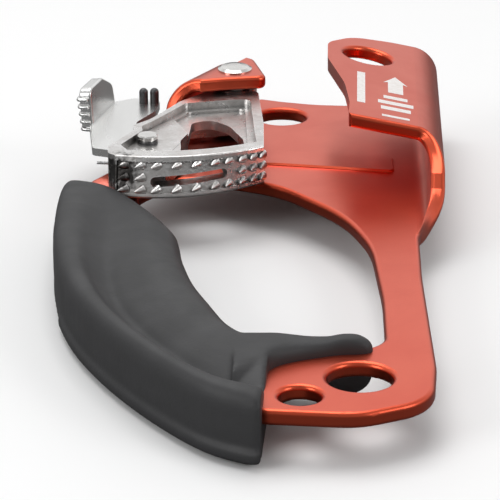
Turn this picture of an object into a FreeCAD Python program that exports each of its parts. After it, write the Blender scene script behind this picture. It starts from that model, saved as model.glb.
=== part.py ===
import FreeCAD, Part
import math
import os

from FreeCAD import Vector

# Hand ascender, lying on its back. Millimetres. X to the right of the user,
# Y up the rope, Z out of the front of the plate. The origin is the centre of
# the big lower hole, on the back face of the plate.

doc = FreeCAD.newDocument("ascender")

# ---------------------------------------------------------------- dimensions
DIMENSIONS = [
    ("sheet_thick", 3.5, "aluminium sheet of the frame"),
    ("edge_round", 1.1, "rounding of the sheet's cut edges"),
    ("main_hole_dia", 13.8, "big lower hole"),
    ("small_hole_dia", 8.8, "small lower hole"),
    ("small_hole_x", -12.1, "small lower hole, across"),
    ("small_hole_y", -9.3, "small lower hole, along"),
    ("top_hole_dia", 12.8, "upper hole in the back plate"),
    ("top_hole_x", -20.7, "upper hole, across"),
    ("top_hole_y", 163.0, "upper hole, along"),
    ("lip_hole_dia", 12.8, "hole in the folded lip"),
    ("lip_hole_x", 1.7, "lip hole, across"),
    ("lip_hole_y", 164.7, "lip hole, along"),
    ("fold_edge", 20.3, "outer face of the rope channel"),
    ("fold_low_radius", 7.0, "lower outer bend of the channel"),
    ("fold_high_radius", 8.0, "upper outer bend of the channel"),
    ("fold_high_centre", 9.83, "height of the upper bend's centre"),
    ("lip_tilt", 11.0, "rise of the lip towards its free edge, degrees"),
    ("ear_radius", 9.35, "outer bend of the ear strap"),
    ("ear_turn", 29.0, "ear bend line from the Y axis, degrees"),
    ("rib_rise", 0.55, "height of the pressed rib"),
    ("pivot_x", -32.7, "cam pivot, across"),
    ("pivot_y", 155.6, "cam pivot, along"),
    ("pivot_dia", 6.0, "shank of the cam pivot rivet"),
    ("pivot_head_dia", 8.8, "head of the cam pivot rivet"),
    ("bush_dia", 7.6, "outside of the bush in the cam"),
    ("cam_low", 4.5, "underside of the cam"),
    ("cam_high", 14.15, "rim of the cam"),
    ("cam_hub_dia", 11.4, "hub of the cam round its bush"),
    ("web_high", 12.2, "top of the cam's web"),
    ("boss_high", 12.3, "top of the boss under the catch rivet"),
    ("web_low", 9.2, "underside of the cam's web"),
    ("catch_x", -52.4, "catch rivet, across"),
    ("catch_y", 116.6, "catch rivet, along"),
    ("catch_pin_dia", 3.0, "shank of the catch rivet"),
    ("catch_head_dia", 5.0, "head of the catch rivet"),
    ("lever_low", 6.9, "underside of the catch plate"),
    ("lever_high", 8.9, "top of the catch plate"),
    ("tab_height", 9.6, "thumb tab above the catch plate"),
    ("tab_thick", 3.2, "thickness of the thumb tab"),
    ("post_dia", 2.3, "spring posts on the catch plate"),
    ("post_height", 4.2, "spring posts above the catch plate"),
    ("grip_front", 8.0, "front of the grip"),
    ("grip_back", -8.0, "back of the grip"),
    ("grip_parting", 1.75, "parting plane of the grip"),
    ("running_gap", 0.05, "radial play of a turning fit"),
    ("side_gap", 0.3, "play between moving faces"),
    ("pivot_washer_dia", 8.6, "outside of the washers on the cam pivot"),
    ("pivot_washer_thick", 0.8, "washers on the cam pivot"),
    ("pivot_washer_chamfer", 0.3, "relief of the pivot washers over the bend"),
    ("wire_dia", 1.0, "wire of the cam spring"),
    ("thin_wire_dia", 0.7, "wire of the catch spring"),
]

sheet = doc.addObject("Spreadsheet::Sheet", "dimensions")
for row, (alias, value, meaning) in enumerate(DIMENSIONS, start=1):
    sheet.set("A%d" % row, meaning)
    sheet.set("B%d" % row, str(value))
    sheet.setAlias("B%d" % row, alias)
doc.recompute()


def dim(alias):
    """Reads one driving dimension."""
    return float(sheet.get(alias))


T = dim("sheet_thick")
PIVOT = Vector(dim("pivot_x"), dim("pivot_y"), 0)
CATCH = Vector(dim("catch_x"), dim("catch_y"), 0)
EAR_TURN = math.radians(dim("ear_turn"))
UP = Vector(0, 0, 1)
SPRING_LOW, SPRING_HIGH = 8.4, 12.2


# ------------------------------------------------------------- small helpers
def outline(corners, height=0.0):
    """Closed wire of straight sides with rounded corners (x, y, radius)."""
    count = len(corners)
    cuts = []
    for index in range(count):
        here = Vector(corners[index][0], corners[index][1], height)
        radius = corners[index][2]
        before = Vector(corners[index - 1][0], corners[index - 1][1], height)
        after = corners[(index + 1) % count]
        after = Vector(after[0], after[1], height)
        to_before = (before - here).normalize()
        to_after = (after - here).normalize()
        bend = math.pi - to_before.getAngle(to_after)
        reach = radius * math.tan(bend / 2)
        start = here + to_before * reach
        end = here + to_after * reach
        bisector = (to_before + to_after).normalize()
        depth = radius / math.cos(bend / 2) - radius
        cuts.append((start, here + bisector * depth, end, radius))
    edges = []
    for index in range(count):
        start, middle, end, radius = cuts[index]
        if radius > 0:
            edges.append(Part.Arc(start, middle, end).toShape())
        following = cuts[(index + 1) % count][0]
        side = following - end
        travel = corners[(index + 1) % count]
        ahead = Vector(travel[0], travel[1], height) - end
        if side.dot(ahead) < 0:
            raise ValueError("corner radii overlap after corner %d" % index)
        if side.Length > 1e-4:
            edges.append(Part.LineSegment(end, following).toShape())
    return Part.Wire(edges)


def prism(corners, low, high):
    """Upright prism on a rounded outline."""
    return Part.Face(outline(corners, low)).extrude(Vector(0, 0, high - low))


def rod(centre, diameter, low, high):
    """Upright cylinder between two heights."""
    return Part.makeCylinder(diameter / 2, high - low, Vector(centre.x, centre.y, low), UP)


def fuse_all(shapes):
    """One solid from overlapping shapes."""
    body = shapes[0].multiFuse(shapes[1:])
    return body.removeSplitter()


def polar(centre, radius, degrees, height=0.0):
    """Point on a circle about an upright axis."""
    angle = math.radians(degrees)
    return Vector(centre.x + radius * math.cos(angle), centre.y + radius * math.sin(angle), height)


def sharp_edges(shape, wanted):
    """Convex edges where two faces meet near a right angle and wanted() holds."""
    found = []
    for edge in shape.Edges:
        middle = edge.valueAt((edge.FirstParameter + edge.LastParameter) / 2)
        if not wanted(middle, edge):
            continue
        faces = shape.ancestorsOfType(edge, Part.Face)
        if len(faces) != 2:
            continue
        normals = []
        for face in faces:
            u, v = face.Surface.parameter(middle)
            normals.append(face.normalAt(u, v))
        bend = math.degrees(normals[0].getAngle(normals[1]))
        if 55 < bend < 125:
            found.append(edge)
    return found


def round_edges(shape, radius, wanted):
    """Rounds the wanted sharp edges, together or else one by one."""
    edges = sharp_edges(shape, wanted)
    try:
        result = shape.makeFillet(radius, edges)
        if result.isValid() and result.Volume > 0:
            return result
    except Part.OCCError:
        pass
    FreeCAD.Console.PrintWarning("rounding %d edges one at a time\n" % len(edges))
    result = shape
    for edge in edges:
        middle = edge.valueAt((edge.FirstParameter + edge.LastParameter) / 2)
        same = [e for e in result.Edges
                if e.valueAt((e.FirstParameter + e.LastParameter) / 2).distanceToPoint(middle) < 1e-3]
        if not same:
            continue
        try:
            trial = result.makeFillet(radius, same[:1])
        except Part.OCCError:
            continue
        if trial.isValid() and trial.Volume > 0:
            result = trial
    return result


def feature(label, shape):
    """Adds a finished solid to the document under its own label."""
    item = doc.addObject("Part::Feature", label)
    item.Shape = shape
    item.Label = label
    return item


# --------------------------------------------------------------------- frame
PLATE = [
    (-24.0, -15.2, 6), (-19.0, -17.0, 8), (0.0, -18.2, 16), (15.0, -10.6, 12), (15.9, 6.0, 40),
    (13.9, 55.0, 200), (13.7, 79.0, 12), (15.2, 86.5, 3), (12.9, 88.5, 1), (12.9, 178.6, 2),
    (-3.0, 173.2, 12), (-12.0, 173.6, 30), (-21.0, 175.8, 14), (-28.5, 178.5, 3), (-33.4, 164.0, 2),
    (-40.0, 148.0, 1), (-43.5, 145.4, 3), (-52.0, 139.0, 5), (-56.0, 131.0, 20), (-66.5, 112.5, 5),
    (-66.5, 92.0, 30), (-64.0, 62.0, 80), (-60.0, 42.0, 60), (-51.0, 20.0, 60), (-38.0, 1.0, 60),
]
HAND_OPENING = [
    (5.4, 14.0, 7.5), (4.9, 42.0, 150), (2.4, 73.0, 60), (-4.2, 92.4, 50), (-20.0, 111.0, 26),
    (-32.0, 116.1, 16), (-46.5, 115.0, 8), (-54.5, 103.0, 10), (-50.0, 88.0, 30), (-46.0, 64.0, 80),
    (-41.0, 44.0, 80), (-31.0, 22.0, 20), (-19.0, 13.6, 14),
]
LIP_PLAN = [
    (-3.0, 90.0, 0), (30.0, 90.0, 0), (30.0, 190.0, 0), (16.0, 181.6, 16), (-2.5, 178.2, 10),
    (-8.9, 169.5, 8), (-8.7, 156.0, 12), (-4.2, 138.0, 30), (-2.9, 124.0, 20), (-3.2, 114.2, 2.5),
    (2.0, 114.2, 0), (2.0, 90.0, 0),
]
RIB = [(-40.0, 136.5, 0), (-40.0, 124.0, 0), (-23.0, 125.6, 30), (8.5, 121.2, 1.5), (8.2, 131.5, 1.5),
       (-23.0, 135.6, 30)]
# Near edge of the folded channel: bend angle in degrees, and place along Y.
FOLD_NEAR_LOW = [(-90, 79.5), (-75, 83.0), (-60, 88.0), (-45, 92.0), (-30, 95.0), (-15, 98.0), (0, 101.0)]
FOLD_NEAR_HIGH = [(0, 104.0), (15, 107.0), (30, 109.8), (45, 112.2), (60, 114.0), (79, 114.8)]
FOLD_FAR = 181.0
EAR_ROOT = Vector(-40.8, 146.5, 0)
EAR_WIDTH = 17.0
EAR_PLAN = [(-60.0, 130.0, 0), (-44.8, 144.6, 0), (-36.0, 147.6, 14), (-24.2, 150.2, 2.0), (-28.0, 165.0, 2.5),
            (-31.9, 168.4, 2.5), (-34.6, 162.4, 0), (-60.0, 162.6, 0)]


def sheet_section(outer, normal, along, near, far):
    """Section across the sheet, from near to far, with both cut edges rounded."""
    soft = dim("edge_round")
    corner = soft * (1 - math.sqrt(0.5))

    def place(reach, depth):
        return outer + along * reach - normal * depth

    line, arc = Part.LineSegment, Part.Arc
    edges = [
        line(place(near + soft, 0), place(far - soft, 0)),
        arc(place(far - soft, 0), place(far - corner, corner), place(far, soft)),
        line(place(far, soft), place(far, T - soft)),
        arc(place(far, T - soft), place(far - corner, T - corner), place(far - soft, T)),
        line(place(far - soft, T), place(near + soft, T)),
        arc(place(near + soft, T), place(near + corner, T - corner), place(near, T - soft)),
        line(place(near, T - soft), place(near, soft)),
        arc(place(near, soft), place(near + corner, corner), place(near + soft, 0)),
    ]
    return Part.Wire([edge.toShape() for edge in edges])


def channel():
    """The J-shaped fold that holds the rope, from the plate round to the lip."""
    low, high = dim("fold_low_radius"), dim("fold_high_radius")
    low_x = dim("fold_edge") - low
    high_x = dim("fold_edge") - high
    tilt = math.radians(dim("lip_tilt"))
    along = Vector(0, 1, 0)

    def bend(centre_x, centre_z, radius, table):
        sections = []
        for degrees, near in table:
            angle = math.radians(degrees)
            normal = Vector(math.cos(angle), 0, math.sin(angle))
            outer = Vector(centre_x, 0, centre_z) + normal * radius
            sections.append(sheet_section(outer, normal, along, near, FOLD_FAR))
        return sections

    lower = bend(low_x, low, low, FOLD_NEAR_LOW)
    upper = bend(high_x, dim("fold_high_centre"), high, FOLD_NEAR_HIGH)
    lip_normal = Vector(math.sin(tilt), 0, math.cos(tilt))
    lip_start = Vector(high_x, 0, dim("fold_high_centre")) + lip_normal * high
    lip_end = lip_start + Vector(-math.cos(tilt), 0, math.sin(tilt)) * 28
    lip_near = FOLD_NEAR_HIGH[-1][1]
    lip = [sheet_section(point, lip_normal, along, lip_near, FOLD_FAR) for point in (lip_start, lip_end)]
    lip = Part.makeLoft(lip, True, True).common(prism(LIP_PLAN, 5, 40))
    lip = round_edges(lip, dim("edge_round"), lambda middle, edge: middle.x < 12 and middle.y > 114.9)
    flat_start = sheet_section(Vector(low_x - 4, 0, 0), -UP, along, FOLD_NEAR_LOW[0][1], FOLD_FAR - 3)
    pieces = [
        Part.makeLoft([flat_start, lower[0]], True, True),
        Part.makeLoft(lower, True, False),
        Part.makeLoft([lower[-1], upper[0]], True, True),
        Part.makeLoft(upper, True, False),
        lip,
    ]
    return fuse_all(pieces)


def ear():
    """The strap bent up over the cam, which carries the pivot rivet."""
    radius = dim("ear_radius")
    out = Vector(-math.cos(EAR_TURN), math.sin(EAR_TURN), 0)
    along = Vector(math.sin(EAR_TURN), math.cos(EAR_TURN), 0)
    near_edge = [(-90, 0.0), (-60, -1.0), (-30, -2.5), (0, -3.2), (30, -2.0), (60, -0.6), (90, 0.0)]

    sections = []
    for degrees, near in near_edge:
        angle = math.radians(degrees)
        normal = out * math.cos(angle) + UP * math.sin(angle)
        outer = EAR_ROOT + UP * radius + normal * radius
        sections.append(sheet_section(outer, normal, along, near, EAR_WIDTH))
    bend = Part.makeLoft(sections, True, False)

    top_start = EAR_ROOT + UP * (2 * radius)
    top = prism(EAR_PLAN, 2 * radius - T, 2 * radius)
    top = round_edges(top, dim("edge_round"), lambda middle, edge: middle.x > -44)
    keep = Part.Face(Part.makePolygon([
        top_start - along * 40 - UP * 9, top_start + along * 40 - UP * 9,
        top_start + along * 40 - out * 60 - UP * 9, top_start - along * 40 - out * 60 - UP * 9,
        top_start - along * 40 - UP * 9])).extrude(UP * 20)
    top = top.common(keep)
    root = [sheet_section(EAR_ROOT - out * reach, -UP, along, 0, EAR_WIDTH) for reach in (0, 7)]
    return fuse_all([bend, top, Part.makeLoft(root, True, True)])


def frame():
    """The red frame: plate, rope channel, ear strap, rib and holes."""
    plate = prism(PLATE, 0, T)
    opening = prism(HAND_OPENING, -1, T + 1)
    plate = plate.cut(opening)

    def free_edge(middle, edge):
        at_fold = abs(middle.x - 12.9) < 0.2 and 84 < middle.y < 180
        at_ear = -40.5 < middle.x < -33 and 146 < middle.y < 166
        flat = abs(middle.z) < 1e-6 or abs(middle.z - T) < 1e-6
        return flat and not at_fold and not at_ear

    plate = round_edges(plate, dim("edge_round"), free_edge)
    rib = prism(RIB, T - 0.5, T + dim("rib_rise"))
    rib_top = [e for e in rib.Edges if all(abs(v.Point.z - T - dim("rib_rise")) < 1e-6 for v in e.Vertexes)]
    rib = rib.makeChamfer(0.45, rib_top)
    body = fuse_all([plate, channel(), ear(), rib])
    holes = [
        (Vector(0, 0, 0), dim("main_hole_dia")),
        (Vector(dim("small_hole_x"), dim("small_hole_y"), 0), dim("small_hole_dia")),
        (Vector(dim("top_hole_x"), dim("top_hole_y"), 0), dim("top_hole_dia")),
    ]
    for centre, diameter in holes:
        body = body.cut(hole_cutter(centre, diameter, UP, T))
    body = body.cut(rod(PIVOT, dim("pivot_dia"), -1, 25))
    tilt = math.radians(dim("lip_tilt"))
    lip_normal = Vector(math.sin(tilt), 0, math.cos(tilt))
    return body.cut(hole_cutter(lip_hole_foot(), dim("lip_hole_dia"), lip_normal, T))


def lip_hole_foot():
    """Centre of the lip hole on the underside of the lip."""
    tilt = math.radians(dim("lip_tilt"))
    high_x = dim("fold_edge") - dim("fold_high_radius")
    lip_normal = Vector(math.sin(tilt), 0, math.cos(tilt))
    start = Vector(high_x, 0, dim("fold_high_centre")) + lip_normal * dim("fold_high_radius")
    reach = (start.x - dim("lip_hole_x")) / math.cos(tilt)
    top = start + Vector(-math.cos(tilt), 0, math.sin(tilt)) * reach
    foot = top - lip_normal * T
    return Vector(foot.x, dim("lip_hole_y"), foot.z)


def hole_cutter(foot, diameter, axis, depth):
    """Through hole with both rims rounded, standing on foot along axis."""
    soft = dim("edge_round")
    radius = diameter / 2
    over = 0.3
    wide = radius + soft
    centre_low = Vector(wide, 0, soft)
    centre_high = Vector(wide, 0, depth - soft)
    corner = soft * math.sqrt(0.5)
    edges = [
        Part.LineSegment(Vector(0, 0, -over), Vector(wide, 0, -over)),
        Part.LineSegment(Vector(wide, 0, -over), Vector(wide, 0, 0)),
        Part.Arc(Vector(wide, 0, 0), centre_low + Vector(-corner, 0, -corner), Vector(radius, 0, soft)),
        Part.LineSegment(Vector(radius, 0, soft), Vector(radius, 0, depth - soft)),
        Part.Arc(Vector(radius, 0, depth - soft), centre_high + Vector(-corner, 0, corner), Vector(wide, 0, depth)),
        Part.LineSegment(Vector(wide, 0, depth), Vector(wide, 0, depth + over)),
        Part.LineSegment(Vector(wide, 0, depth + over), Vector(0, 0, depth + over)),
        Part.LineSegment(Vector(0, 0, depth + over), Vector(0, 0, -over)),
    ]
    wire = Part.Wire([edge.toShape() for edge in edges])
    cutter = Part.Face(wire).revolve(Vector(0, 0, 0), UP, 360)
    turn = FreeCAD.Rotation(UP, axis)
    cutter.Placement = FreeCAD.Placement(foot, turn)
    return cutter


# ---------------------------------------------------------------------- grip
# Stations along the handle: outer point, inner point, height share.
GRIP_STATIONS = [
    ((-70.4, 107.4), (-64.6, 104.6), 0.6), ((-72.0, 102.6), (-58.8, 97.2), 0.92),
    ((-72.3, 92.0), (-49.6, 88.2), 1.0), ((-71.6, 78.0), (-43.8, 75.5), 1.0),
    ((-69.8, 62.0), (-40.6, 60.0), 1.0), ((-66.6, 46.0), (-36.4, 46.5), 1.0),
    ((-61.0, 29.5), (-31.8, 33.5), 1.0), ((-52.5, 13.0), (-27.6, 23.0), 1.0),
    ((-42.0, -2.5), (-24.0, 17.5), 1.0), ((-31.5, -14.5), (-21.3, 16.3), 1.0), ((-18.6, -22.3), (-18.6, 16.0), 0.98),
]
ARM = [(-20.0, 4.2, 0), (-10.8, 7.0, 2), (-5.0, 10.4, 8), (2.4, 9.8, 1.5), (2.8, 13.0, 2), (-0.9, 16.0, 2),
       (-5.0, 15.4, 6), (-20.0, 16.0, 0)]


def grip_section(outer, inner, share):
    """Closed rounded section of the handle between two plan points."""
    middle_z = dim("grip_parting")
    start, end = Vector(outer[0], outer[1], middle_z), Vector(inner[0], inner[1], middle_z)
    centre = (start + end) * 0.5
    reach = (end - start) * 0.5
    rise = (dim("grip_front") - middle_z) * share
    drop = (middle_z - dim("grip_back")) * share
    points = []
    for degrees in range(0, 360, 20):
        angle = math.radians(degrees)
        across, upward = math.cos(angle), math.sin(angle)
        across = math.copysign(abs(across) ** 0.62, across)
        upward = math.copysign(abs(upward) ** 0.62, upward)
        points.append(centre + reach * across + UP * upward * (rise if upward > 0 else drop))
    return Part.makePolygon(points + points[:1])


def grip_halves():
    """Front and back shells of the grip, closed on the parting plane."""
    handle = Part.makeLoft([grip_section(*station) for station in GRIP_STATIONS], True, True)
    low, high = dim("grip_back") + 5.0, dim("grip_front") - 1.6
    arm = prism(ARM, low, high)
    tops = sharp_edges(arm, lambda middle, edge: abs(middle.z - high) < 1e-6 or abs(middle.z - low) < 1e-6)
    arm = arm.makeFillet(1.3, tops)
    core = prism(PLATE, 0, T).cut(prism(HAND_OPENING, -1, T + 1))
    whole = handle.cut(core).fuse(arm.cut(core))
    span = Part.makeBox(200, 300, 40, Vector(-120, -80, dim("grip_parting")))
    span_low = Part.makeBox(200, 300, 40, Vector(-120, -80, dim("grip_parting") - 40))
    front, back = whole.common(span), whole.common(span_low)
    return largest(front), largest(back)


def largest(shape):
    """The biggest solid of a shape."""
    return max(shape.Solids, key=lambda solid: solid.Volume)


# ----------------------------------------------------------------------- cam
FACE_MIDDLE = -50.5
FACE_LEFT, FACE_RIGHT = -59.0, -23.6
FACE_NEAR_TOP, FACE_NEAR_LOW = 101.0, 97.6
FACE_CORNER = 109.7


def face_y(x, height, inset=0.0):
    """Toothed front face of the cam: a parabola that bulges more at the bottom."""
    share = (dim("cam_high") - height) / (dim("cam_high") - dim("cam_low"))
    nearest = FACE_NEAR_TOP + (FACE_NEAR_LOW - FACE_NEAR_TOP) * share
    curve = (FACE_CORNER - nearest) / (FACE_RIGHT - FACE_MIDDLE) ** 2
    return nearest + inset + curve * (x - FACE_MIDDLE) ** 2


def face_curve(left, right, inset, height):
    """The front face as one smooth edge."""
    steps = 8
    xs = [left + (right - left) * step / steps for step in range(steps + 1)]
    curve = Part.BSplineCurve()
    curve.interpolate([Vector(x, face_y(x, height, inset), height) for x in xs])
    return curve.toShape()


def chain(first_edge, corners, height):
    """Closes a smooth edge with straight sides that have rounded corners."""
    start = first_edge.valueAt(first_edge.LastParameter)
    end = first_edge.valueAt(first_edge.FirstParameter)
    path = [(start.x, start.y, 0)] + corners + [(end.x, end.y, 0)]
    edges = outline(path, height).Edges
    closing = [edge for edge in edges
               if sorted([edge.Vertexes[0].Point.distanceToPoint(start) < 1e-6,
                          edge.Vertexes[-1].Point.distanceToPoint(start) < 1e-6]) == [False, True]
               and min(vertex.Point.distanceToPoint(end) for vertex in edge.Vertexes) < 1e-6]
    sides = [edge for edge in edges if not any(edge.isSame(other) for other in closing)]
    return Part.Wire(Part.sortEdges([first_edge] + sides)[0])


CAM_SIDES = [(-24.2, 126.0, 60), (-26.6, 152.4, 2.5), (-40.0, 150.6, 2), (-46.2, 142.4, 3), (-52.6, 128.6, 12),
             (-56.6, 123.8, 1.2), (-56.0, 120.4, 1.2), (-61.4, 108.0, 3), (-60.9, 103.0, 2.4)]
POCKET_SIDES = [(-26.2, 120.0, 1.5), (-28.2, 145.2, 2.2), (-33.0, 144.6, 6), (-44.6, 141.4, 1.6),
                (-50.8, 129.2, 6), (-54.4, 123.2, 1.2), (-53.9, 120.2, 1.2), (-58.4, 109.4, 1.5)]
LEDGE = [(-27.8, 117.0, 1), (-29.6, 143.6, 2), (-43.7, 140.0, 1.5), (-49.4, 128.6, 3), (-44.0, 118.0, 1),
         (-44.0, 107.4, 0.8), (-36.0, 110.0, 20)]
WINDOW = [(-28.4, 115.9, 0.8), (-29.2, 122.0, 4), (-33.0, 131.6, 7), (-38.0, 136.4, 3.5), (-42.6, 133.4, 2.5),
          (-42.8, 124.0, 1), (-44.4, 118.0, 1), (-43.6, 107.6, 0.8), (-36.0, 110.2, 20)]
BOSS = [(-47.2, 134.4, 1.0), (-42.6, 122.6, 1.2), (-47.4, 106.0, 0.5), (-56.0, 106.0, 0.5), (-58.2, 111.0, 1),
        (-54.6, 120.6, 1), (-51.4, 128.4, 1)]
# Across positions of the spikes, closer together towards the right end.
SPIKE_COLUMNS = [-57.0, -53.0, -49.2, -44.4, -39.8, -35.4, -32.2, -29.0, -26.4, -24.2]
MUD_SLOT = (-49.4, -33.4)
MUD_SLOT_WIDTH = 2.3
MUD_SLOT_TILT = 3.0


def spike(x, height):
    """One cone on the face, leaning to the left."""
    slope = (face_y(x + 0.5, height) - face_y(x - 0.5, height))
    tangent = Vector(-1, -slope, 0).normalize()
    normal = Vector(slope, -1, 0).normalize()
    lean = (normal * 0.78 + tangent * 0.62).normalize()
    root = Vector(x, face_y(x, height, 0.55), height) - lean * 0.7
    return Part.makeCone(1.35, 0.12, 2.5, root, lean)


def face_loft(left, right, inset, sides, low, high):
    """Solid between two heights whose front follows the toothed face."""
    wires = [chain(face_curve(left, right, inset, height), sides, height) for height in (low, high)]
    return Part.makeLoft(wires, True, True)


def cam():
    """Cast cam: rim, pocket, window, mud slot, spikes and bores."""
    low, high = dim("cam_low"), dim("cam_high")
    web_high, web_low = dim("web_high"), dim("web_low")
    block = face_loft(FACE_LEFT, FACE_RIGHT, 0, CAM_SIDES, low, high)
    body = round_edges(block, 0.45, lambda middle, edge: abs(middle.z - high) < 1e-6 or abs(middle.z - low) < 1e-6)
    body = body.fuse(rod(PIVOT, dim("cam_hub_dia"), low, high))
    body = body.cut(face_loft(-56.5, -25.4, 4.2, POCKET_SIDES, web_high, high + 0.01))
    body = body.cut(prism(LEDGE, web_high - 0.7, high))
    body = body.cut(face_loft(-55.5, -26.4, 4.8, POCKET_SIDES, low - 0.01, web_low))
    body = body.fuse(prism(BOSS, low, dim("boss_high")).common(block))
    body = body.cut(prism(WINDOW, low - 1, high))
    band = 1.2
    front = [(FACE_RIGHT + 1, 92, 0), (FACE_LEFT + 0.3, 92, 0)]
    body = body.cut(face_loft(FACE_LEFT + 0.3, FACE_RIGHT + 1, 0.55, front, low + band, high - band))
    left, right = MUD_SLOT
    middle_z = (low + high) / 2 - 0.3
    half = MUD_SLOT_WIDTH / 2
    slot = Part.makeBox(right - left, 16, 2 * half, Vector(left, 92, middle_z - half))
    for end in (left, right):
        slot = slot.fuse(Part.makeCylinder(half, 16, Vector(end, 92, middle_z), Vector(0, 1, 0)))
    slot.rotate(Vector(right, 0, middle_z), Vector(0, 1, 0), -MUD_SLOT_TILT)
    body = body.cut(slot)
    spikes = []
    for row in (-1, 0, 1):
        for x in SPIKE_COLUMNS:
            if row == 0 and left - 2.0 < x < right + 1.6:
                continue
            spikes.append(spike(x, middle_z + row * 2.75))
    body = body.multiFuse(spikes)
    gap = dim("side_gap")
    lever_low, lever_high = dim("lever_low") - gap, dim("lever_high") + gap
    body = body.cut(prism([(-48.0, 110.6, 2), (-47.0, 133.5, 2), (-70.0, 133.5, 0), (-70.0, 110.6, 0)],
                          lever_low, lever_high))
    body = body.cut(rod(CATCH, 7.6, low + 0.4, lever_low + 0.1))
    body = body.cut(turned_box(Vector(CATCH.x, CATCH.y + 2.7, low + 0.4), 12, 2.4, 2.2, 175))
    body = body.cut(rod(CATCH, dim("catch_pin_dia"), low - 1, high))
    body = body.cut(rod(PIVOT, dim("bush_dia"), low - 1, high + 1))
    body = body.cut(rod(PIVOT, 10.8, SPRING_LOW - 0.3, SPRING_HIGH + 0.3))
    pocket_foot = polar(PIVOT, 0.4, 180, SPRING_LOW - 0.3) + Vector(0, 0.8, 0)
    body = body.cut(turned_box(pocket_foot, 7.6, 9.6, SPRING_HIGH - SPRING_LOW + 0.6, 180))
    return largest(body)


def turned_box(foot, length, width, height, degrees):
    """Box from foot along a plan direction, centred across it."""
    box = Part.makeBox(length, width, height, Vector(0, -width / 2, 0))
    box.Placement = FreeCAD.Placement(foot, FreeCAD.Rotation(UP, degrees))
    return box


# ----------------------------------------------------------- catch and springs
LEVER = [(-66.6, 121.4, 1.5), (-62.0, 119.8, 3), (-57.6, 112.6, 4), (-52.4, 110.8, 3.5), (-47.9, 115.6, 3.5),
         (-50.4, 126.0, 8), (-57.6, 140.4, 4), (-52.8, 150.8, 3), (-52.4, 158.6, 1.2), (-59.4, 160.4, 2),
         (-64.7, 157.0, 1), (-68.9, 138.6, 2), (-67.2, 126.0, 20)]
TAB_FOOT = (-68.9, 139.6)
TAB_LENGTH = 18.0
TAB_TURN = 76.5
TAB_LEAN = 7.0
POSTS = [(-56.5, 156.2), (-53.7, 156.4)]


def revolved(label, profile, centre):
    """PartDesign body turned from a half profile of (radius, height) points."""
    body = doc.addObject("PartDesign::Body", label)
    body.Label = label
    plane = [item for item in body.Origin.OriginFeatures if item.Role == "XZ_Plane"][0]
    sketch = body.newObject("Sketcher::SketchObject", label + "_profile")
    sketch.AttachmentSupport = [(plane, "")]
    sketch.MapMode = "FlatFace"
    points = [Vector(radius, height, 0) for radius, height in profile]
    for index, point in enumerate(points):
        sketch.addGeometry(Part.LineSegment(point, points[(index + 1) % len(points)]), False)
    doc.recompute()
    turn = body.newObject("PartDesign::Revolution", label + "_turn")
    turn.Profile = sketch
    turn.ReferenceAxis = (sketch, ["V_Axis"])
    turn.Angle = 360
    body.Placement = FreeCAD.Placement(centre, FreeCAD.Rotation())
    doc.recompute()
    return body


def coil(centre, radius, low, high, turns, start_degrees, wire, leg_end):
    """Torsion spring: a straight leg running into a clockwise helix of round wire."""
    steps = int(turns * 20)
    path = [leg_end]
    for step in range(steps + 1):
        share = step / steps
        path.append(polar(centre, radius, start_degrees - 360 * turns * share, low + (high - low) * share))
    rings = []
    for index, point in enumerate(path):
        before = path[max(index - 1, 0)]
        after = path[min(index + 1, steps + 1)]
        along = (after - before).normalize()
        side = along.cross(UP).normalize()
        rise = side.cross(along)
        ring = []
        for degrees in range(0, 361, 30):
            angle = math.radians(degrees % 360)
            ring.append(point + (side * math.cos(angle) + rise * math.sin(angle)) * (wire / 2))
        rings.append(Part.makePolygon(ring))
    return Part.makeLoft(rings, True, True)


def catch_lever():
    """Catch plate with its turned-up thumb tab."""
    low, high = dim("lever_low"), dim("lever_high")
    plate = prism(LEVER, low, high)
    plate = plate.cut(rod(CATCH, dim("catch_pin_dia") + 2 * dim("running_gap"), low - 1, high + 1))
    thick, tall = dim("tab_thick"), dim("tab_height")
    side = [(0, 0, 0), (TAB_LENGTH, 0, 0), (TAB_LENGTH, tall * 0.62, 3), (TAB_LENGTH * 0.62, tall, 4),
            (1.4, tall, 2.2)]
    tab = Part.Face(outline(side)).extrude(Vector(0, 0, thick))
    tab = round_edges(tab, 0.6, lambda middle, edge: middle.y > 0.3)
    along = Vector(math.cos(math.radians(TAB_TURN)), math.sin(math.radians(TAB_TURN)), 0)
    outward = Vector(-along.y, along.x, 0)
    lean = FreeCAD.Rotation(along, -TAB_LEAN)
    turn = lean * FreeCAD.Rotation(UP, TAB_TURN) * FreeCAD.Rotation(Vector(1, 0, 0), 90)
    foot = Vector(TAB_FOOT[0], TAB_FOOT[1], high - 1.2) + outward * (thick - 0.9)
    tab.Placement = FreeCAD.Placement(foot, turn)
    return plate.fuse(tab).removeSplitter()


def spring_posts():
    """Two domed posts that stand on the catch plate."""
    low = dim("lever_high")
    high = low + dim("post_height")
    posts = []
    for x, y in POSTS:
        post = rod(Vector(x, y, 0), dim("post_dia"), low, high - dim("post_dia") / 2)
        dome = Part.makeSphere(dim("post_dia") / 2, Vector(x, y, high - dim("post_dia") / 2))
        posts.append(post.fuse(dome).removeSplitter())
    return Part.makeCompound(posts)


# ------------------------------------------------------------------ assembly
metal = frame()
front_shell, back_shell = grip_halves()
nodes = [
    feature("frame", metal),
    feature("grip_front_shell", front_shell),
    feature("grip_back_shell", back_shell),
    feature("cam", cam()),
    feature("catch_lever", catch_lever()),
    feature("spring_posts", spring_posts()),
]

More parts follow.
